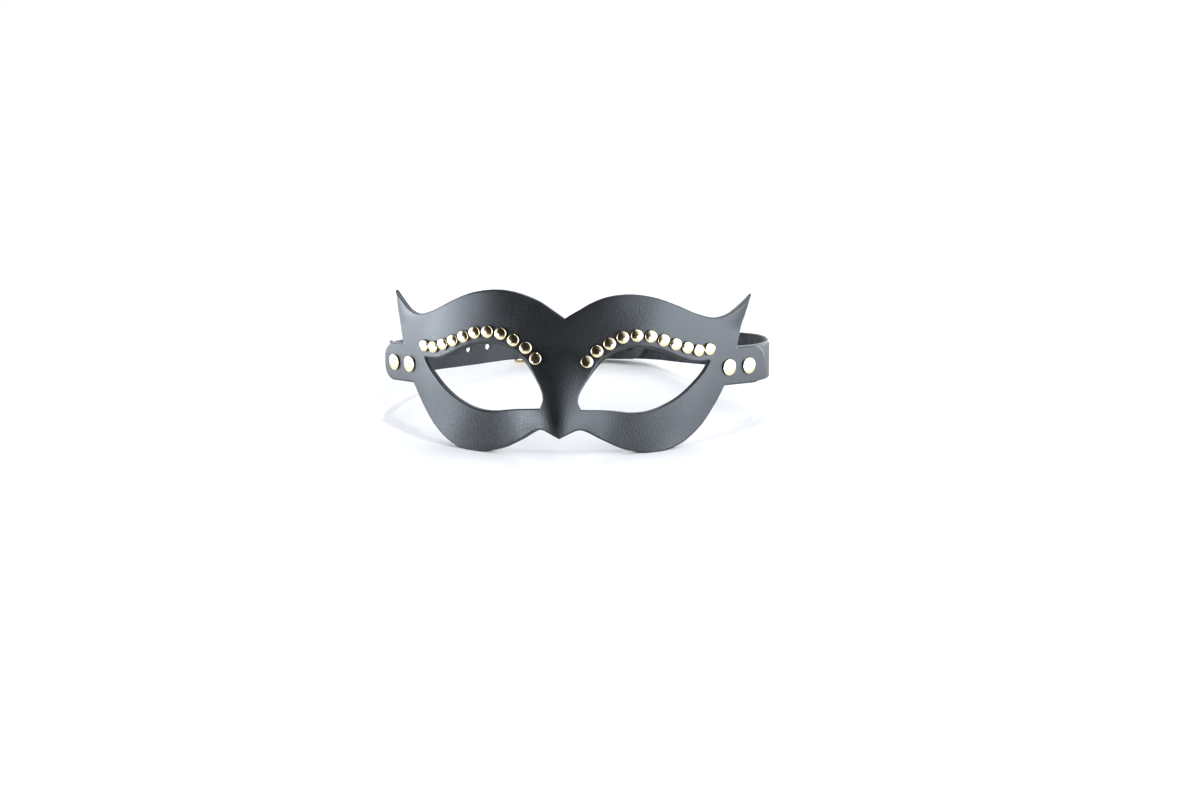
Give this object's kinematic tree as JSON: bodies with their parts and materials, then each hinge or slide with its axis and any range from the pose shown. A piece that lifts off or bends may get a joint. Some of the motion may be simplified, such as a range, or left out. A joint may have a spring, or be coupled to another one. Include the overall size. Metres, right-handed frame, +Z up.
{
  "type": "leather eye mask with a studded brow and a buckled head strap",
  "caption": "Eye mask of moulded black leather with winged corners, a row of domed brass studs over each eye and a buckled strap round the head; it stands on its cheeks and strap.",
  "frame": {"origin": "middle of the bounding box in plan, on the surface that the mask stands on", "axes": "+Z up, the mask faces -Y, the strap loops back towards +Y, and the viewer's left is -X"},
  "size_m": [0.2088, 0.17, 0.0815],
  "materials": {
    "mask_leather": "satin dyed leather, black-grey",
    "strap_leather": "satin dyed leather, black-grey",
    "brass": "polished pale brass"
  },
  "bodies": {
    "root": {"mask_front": "mask_leather", "billet_strap": "strap_leather", "buckle_strap": "strap_leather", "brow_stud_left_01": "brass", "brow_stud_left_02": "brass", "brow_stud_left_03": "brass", "brow_stud_left_04": "brass", "brow_stud_left_05": "brass", "brow_stud_left_06": "brass", "brow_stud_left_07": "brass", "brow_stud_left_08": "brass", "brow_stud_left_09": "brass", "brow_stud_left_10": "brass", "brow_stud_left_11": "brass", "brow_stud_right_01": "brass", "brow_stud_right_02": "brass", "brow_stud_right_03": "brass", "brow_stud_right_04": "brass", "brow_stud_right_05": "brass", "brow_stud_right_06": "brass", "brow_stud_right_07": "brass", "brow_stud_right_08": "brass", "brow_stud_right_09": "brass", "brow_stud_right_10": "brass", "brow_stud_right_11": "brass", "tab_rivet_left_inner": "brass", "tab_rivet_left_outer": "brass", "tab_rivet_right_inner": "brass", "tab_rivet_right_outer": "brass", "buckle_frame": "brass", "buckle_tongue": "brass", "strap_keeper": "brass", "strap_rivet_1": "brass", "strap_rivet_2": "brass"}
  },
  "joints": []
}
